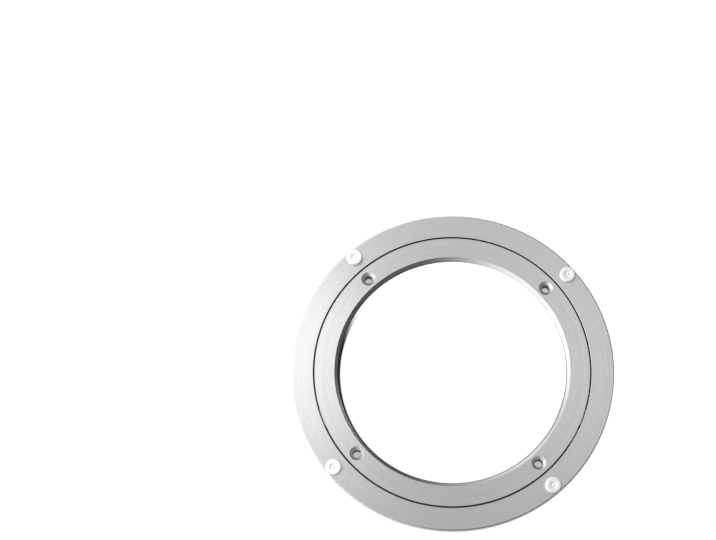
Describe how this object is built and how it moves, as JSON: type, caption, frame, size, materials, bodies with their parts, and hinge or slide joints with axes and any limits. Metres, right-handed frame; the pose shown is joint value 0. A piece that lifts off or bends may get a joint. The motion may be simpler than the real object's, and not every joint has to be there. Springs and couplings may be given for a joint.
{
  "type": "lazy susan bearing",
  "caption": "Flat turntable ring bearing: two nested aluminium rings that turn on a caged row of steel balls, with soft push-in feet under the outer ring.",
  "frame": {"origin": "on the axis of turning, at the inner ring's board face, which the part lies on as pictured", "axes": "+Z along the axis of turning, from the board face towards the feet; +X midway between two feet. In use the part is turned over and stands on its feet"},
  "size_m": [0.2, 0.2, 0.0107],
  "materials": {
    "ring_aluminium": "turned, with fine concentric tool marks",
    "cage_nylon": "moulded nylon, dark",
    "ball_steel": "polished bearing steel",
    "plug_steel": "plain steel grub screw",
    "foot_rubber": "soft white rubber, satin"
  },
  "bodies": {
    "outer_ring": {"outer_ring": "ring_aluminium", "loading_plug": "plug_steel", "foot_1": "foot_rubber", "foot_2": "foot_rubber", "foot_3": "foot_rubber", "foot_4": "foot_rubber"},
    "inner_ring": {"inner_ring": "ring_aluminium"},
    "ball_cage": {"ball_cage": "cage_nylon"},
    "ball_01": {"ball_01": "ball_steel"},
    "ball_02": {"ball_02": "ball_steel"},
    "ball_03": {"ball_03": "ball_steel"},
    "ball_04": {"ball_04": "ball_steel"},
    "ball_05": {"ball_05": "ball_steel"},
    "ball_06": {"ball_06": "ball_steel"},
    "ball_07": {"ball_07": "ball_steel"},
    "ball_08": {"ball_08": "ball_steel"},
    "ball_09": {"ball_09": "ball_steel"},
    "ball_10": {"ball_10": "ball_steel"},
    "ball_11": {"ball_11": "ball_steel"},
    "ball_12": {"ball_12": "ball_steel"},
    "ball_13": {"ball_13": "ball_steel"},
    "ball_14": {"ball_14": "ball_steel"},
    "ball_15": {"ball_15": "ball_steel"},
    "ball_16": {"ball_16": "ball_steel"},
    "ball_17": {"ball_17": "ball_steel"},
    "ball_18": {"ball_18": "ball_steel"},
    "ball_19": {"ball_19": "ball_steel"},
    "ball_20": {"ball_20": "ball_steel"},
    "ball_21": {"ball_21": "ball_steel"},
    "ball_22": {"ball_22": "ball_steel"},
    "ball_23": {"ball_23": "ball_steel"},
    "ball_24": {"ball_24": "ball_steel"},
    "ball_25": {"ball_25": "ball_steel"},
    "ball_26": {"ball_26": "ball_steel"},
    "ball_27": {"ball_27": "ball_steel"},
    "ball_28": {"ball_28": "ball_steel"},
    "ball_29": {"ball_29": "ball_steel"},
    "ball_30": {"ball_30": "ball_steel"},
    "ball_31": {"ball_31": "ball_steel"},
    "ball_32": {"ball_32": "ball_steel"},
    "ball_33": {"ball_33": "ball_steel"},
    "ball_34": {"ball_34": "ball_steel"},
    "ball_35": {"ball_35": "ball_steel"},
    "ball_36": {"ball_36": "ball_steel"}
  },
  "joints": [
    {"name": "ring_turn", "type": "hinge", "parent": "outer_ring", "child": "inner_ring", "pos_m": [0, 0, 0.0045], "axis": [0, 0, 1], "continuous": true},
    {"name": "cage_turn", "type": "hinge", "parent": "outer_ring", "child": "ball_cage", "pos_m": [0, 0, 0.0045], "axis": [0, 0, 1], "continuous": true},
    {"name": "ball_01_roll", "type": "hinge", "parent": "ball_cage", "child": "ball_01", "pos_m": [0.08484, 0.01496, 0.0045], "axis": [0, 0, 1], "continuous": true},
    {"name": "ball_02_roll", "type": "hinge", "parent": "ball_cage", "child": "ball_02", "pos_m": [0.08095, 0.02947, 0.0045], "axis": [0, 0, 1], "continuous": true},
    {"name": "ball_03_roll", "type": "hinge", "parent": "ball_cage", "child": "ball_03", "pos_m": [0.07461, 0.04308, 0.0045], "axis": [0, 0, 1], "continuous": true},
    {"name": "ball_04_roll", "type": "hinge", "parent": "ball_cage", "child": "ball_04", "pos_m": [0.06599, 0.05538, 0.0045], "axis": [0, 0, 1], "continuous": true},
    {"name": "ball_05_roll", "type": "hinge", "parent": "ball_cage", "child": "ball_05", "pos_m": [0.05538, 0.06599, 0.0045], "axis": [0, 0, 1], "continuous": true},
    {"name": "ball_06_roll", "type": "hinge", "parent": "ball_cage", "child": "ball_06", "pos_m": [0.04308, 0.07461, 0.0045], "axis": [0, 0, 1], "continuous": true},
    {"name": "ball_07_roll", "type": "hinge", "parent": "ball_cage", "child": "ball_07", "pos_m": [0.02947, 0.08095, 0.0045], "axis": [0, 0, 1], "continuous": true},
    {"name": "ball_08_roll", "type": "hinge", "parent": "ball_cage", "child": "ball_08", "pos_m": [0.01496, 0.08484, 0.0045], "axis": [0, 0, 1], "continuous": true},
    {"name": "ball_09_roll", "type": "hinge", "parent": "ball_cage", "child": "ball_09", "pos_m": [0, 0.08615, 0.0045], "axis": [0, 0, 1], "continuous": true},
    {"name": "ball_10_roll", "type": "hinge", "parent": "ball_cage", "child": "ball_10", "pos_m": [-0.01496, 0.08484, 0.0045], "axis": [0, 0, 1], "continuous": true},
    {"name": "ball_11_roll", "type": "hinge", "parent": "ball_cage", "child": "ball_11", "pos_m": [-0.02947, 0.08095, 0.0045], "axis": [0, 0, 1], "continuous": true},
    {"name": "ball_12_roll", "type": "hinge", "parent": "ball_cage", "child": "ball_12", "pos_m": [-0.04308, 0.07461, 0.0045], "axis": [0, 0, 1], "continuous": true},
    {"name": "ball_13_roll", "type": "hinge", "parent": "ball_cage", "child": "ball_13", "pos_m": [-0.05538, 0.06599, 0.0045], "axis": [0, 0, 1], "continuous": true},
    {"name": "ball_14_roll", "type": "hinge", "parent": "ball_cage", "child": "ball_14", "pos_m": [-0.06599, 0.05538, 0.0045], "axis": [0, 0, 1], "continuous": true},
    {"name": "ball_15_roll", "type": "hinge", "parent": "ball_cage", "child": "ball_15", "pos_m": [-0.07461, 0.04308, 0.0045], "axis": [0, 0, 1], "continuous": true},
    {"name": "ball_16_roll", "type": "hinge", "parent": "ball_cage", "child": "ball_16", "pos_m": [-0.08095, 0.02947, 0.0045], "axis": [0, 0, 1], "continuous": true},
    {"name": "ball_17_roll", "type": "hinge", "parent": "ball_cage", "child": "ball_17", "pos_m": [-0.08484, 0.01496, 0.0045], "axis": [0, 0, 1], "continuous": true},
    {"name": "ball_18_roll", "type": "hinge", "parent": "ball_cage", "child": "ball_18", "pos_m": [-0.08615, 0, 0.0045], "axis": [0, 0, 1], "continuous": true},
    {"name": "ball_19_roll", "type": "hinge", "parent": "ball_cage", "child": "ball_19", "pos_m": [-0.08484, -0.01496, 0.0045], "axis": [0, 0, 1], "continuous": true},
    {"name": "ball_20_roll", "type": "hinge", "parent": "ball_cage", "child": "ball_20", "pos_m": [-0.08095, -0.02947, 0.0045], "axis": [0, 0, 1], "continuous": true},
    {"name": "ball_21_roll", "type": "hinge", "parent": "ball_cage", "child": "ball_21", "pos_m": [-0.07461, -0.04308, 0.0045], "axis": [0, 0, 1], "continuous": true},
    {"name": "ball_22_roll", "type": "hinge", "parent": "ball_cage", "child": "ball_22", "pos_m": [-0.06599, -0.05538, 0.0045], "axis": [0, 0, 1], "continuous": true},
    {"name": "ball_23_roll", "type": "hinge", "parent": "ball_cage", "child": "ball_23", "pos_m": [-0.05538, -0.06599, 0.0045], "axis": [0, 0, 1], "continuous": true},
    {"name": "ball_24_roll", "type": "hinge", "parent": "ball_cage", "child": "ball_24", "pos_m": [-0.04308, -0.07461, 0.0045], "axis": [0, 0, 1], "continuous": true},
    {"name": "ball_25_roll", "type": "hinge", "parent": "ball_cage", "child": "ball_25", "pos_m": [-0.02947, -0.08095, 0.0045], "axis": [0, 0, 1], "continuous": true},
    {"name": "ball_26_roll", "type": "hinge", "parent": "ball_cage", "child": "ball_26", "pos_m": [-0.01496, -0.08484, 0.0045], "axis": [0, 0, 1], "continuous": true},
    {"name": "ball_27_roll", "type": "hinge", "parent": "ball_cage", "child": "ball_27", "pos_m": [0, -0.08615, 0.0045], "axis": [0, 0, 1], "continuous": true},
    {"name": "ball_28_roll", "type": "hinge", "parent": "ball_cage", "child": "ball_28", "pos_m": [0.01496, -0.08484, 0.0045], "axis": [0, 0, 1], "continuous": true},
    {"name": "ball_29_roll", "type": "hinge", "parent": "ball_cage", "child": "ball_29", "pos_m": [0.02947, -0.08095, 0.0045], "axis": [0, 0, 1], "continuous": true},
    {"name": "ball_30_roll", "type": "hinge", "parent": "ball_cage", "child": "ball_30", "pos_m": [0.04308, -0.07461, 0.0045], "axis": [0, 0, 1], "continuous": true},
    {"name": "ball_31_roll", "type": "hinge", "parent": "ball_cage", "child": "ball_31", "pos_m": [0.05538, -0.06599, 0.0045], "axis": [0, 0, 1], "continuous": true},
    {"name": "ball_32_roll", "type": "hinge", "parent": "ball_cage", "child": "ball_32", "pos_m": [0.06599, -0.05538, 0.0045], "axis": [0, 0, 1], "continuous": true},
    {"name": "ball_33_roll", "type": "hinge", "parent": "ball_cage", "child": "ball_33", "pos_m": [0.07461, -0.04308, 0.0045], "axis": [0, 0, 1], "continuous": true},
    {"name": "ball_34_roll", "type": "hinge", "parent": "ball_cage", "child": "ball_34", "pos_m": [0.08095, -0.02947, 0.0045], "axis": [0, 0, 1], "continuous": true},
    {"name": "ball_35_roll", "type": "hinge", "parent": "ball_cage", "child": "ball_35", "pos_m": [0.08484, -0.01496, 0.0045], "axis": [0, 0, 1], "continuous": true},
    {"name": "ball_36_roll", "type": "hinge", "parent": "ball_cage", "child": "ball_36", "pos_m": [0.08615, 0, 0.0045], "axis": [0, 0, 1], "continuous": true}
  ],
  "couplings": [
    {"joint": "cage_turn", "follows": "ring_turn", "ratio": 0.48839},
    {"joint": "ball_01_roll", "follows": "ring_turn", "ratio": -21.526},
    {"joint": "ball_02_roll", "follows": "ring_turn", "ratio": -21.526},
    {"joint": "ball_03_roll", "follows": "ring_turn", "ratio": -21.526},
    {"joint": "ball_04_roll", "follows": "ring_turn", "ratio": -21.526},
    {"joint": "ball_05_roll", "follows": "ring_turn", "ratio": -21.526},
    {"joint": "ball_06_roll", "follows": "ring_turn", "ratio": -21.526},
    {"joint": "ball_07_roll", "follows": "ring_turn", "ratio": -21.526},
    {"joint": "ball_08_roll", "follows": "ring_turn", "ratio": -21.526},
    {"joint": "ball_09_roll", "follows": "ring_turn", "ratio": -21.526},
    {"joint": "ball_10_roll", "follows": "ring_turn", "ratio": -21.526},
    {"joint": "ball_11_roll", "follows": "ring_turn", "ratio": -21.526},
    {"joint": "ball_12_roll", "follows": "ring_turn", "ratio": -21.526},
    {"joint": "ball_13_roll", "follows": "ring_turn", "ratio": -21.526},
    {"joint": "ball_14_roll", "follows": "ring_turn", "ratio": -21.526},
    {"joint": "ball_15_roll", "follows": "ring_turn", "ratio": -21.526},
    {"joint": "ball_16_roll", "follows": "ring_turn", "ratio": -21.526},
    {"joint": "ball_17_roll", "follows": "ring_turn", "ratio": -21.526},
    {"joint": "ball_18_roll", "follows": "ring_turn", "ratio": -21.526},
    {"joint": "ball_19_roll", "follows": "ring_turn", "ratio": -21.526},
    {"joint": "ball_20_roll", "follows": "ring_turn", "ratio": -21.526},
    {"joint": "ball_21_roll", "follows": "ring_turn", "ratio": -21.526},
    {"joint": "ball_22_roll", "follows": "ring_turn", "ratio": -21.526},
    {"joint": "ball_23_roll", "follows": "ring_turn", "ratio": -21.526},
    {"joint": "ball_24_roll", "follows": "ring_turn", "ratio": -21.526},
    {"joint": "ball_25_roll", "follows": "ring_turn", "ratio": -21.526},
    {"joint": "ball_26_roll", "follows": "ring_turn", "ratio": -21.526},
    {"joint": "ball_27_roll", "follows": "ring_turn", "ratio": -21.526},
    {"joint": "ball_28_roll", "follows": "ring_turn", "ratio": -21.526},
    {"joint": "ball_29_roll", "follows": "ring_turn", "ratio": -21.526},
    {"joint": "ball_30_roll", "follows": "ring_turn", "ratio": -21.526},
    {"joint": "ball_31_roll", "follows": "ring_turn", "ratio": -21.526},
    {"joint": "ball_32_roll", "follows": "ring_turn", "ratio": -21.526},
    {"joint": "ball_33_roll", "follows": "ring_turn", "ratio": -21.526},
    {"joint": "ball_34_roll", "follows": "ring_turn", "ratio": -21.526},
    {"joint": "ball_35_roll", "follows": "ring_turn", "ratio": -21.526},
    {"joint": "ball_36_roll", "follows": "ring_turn", "ratio": -21.526}
  ]
}
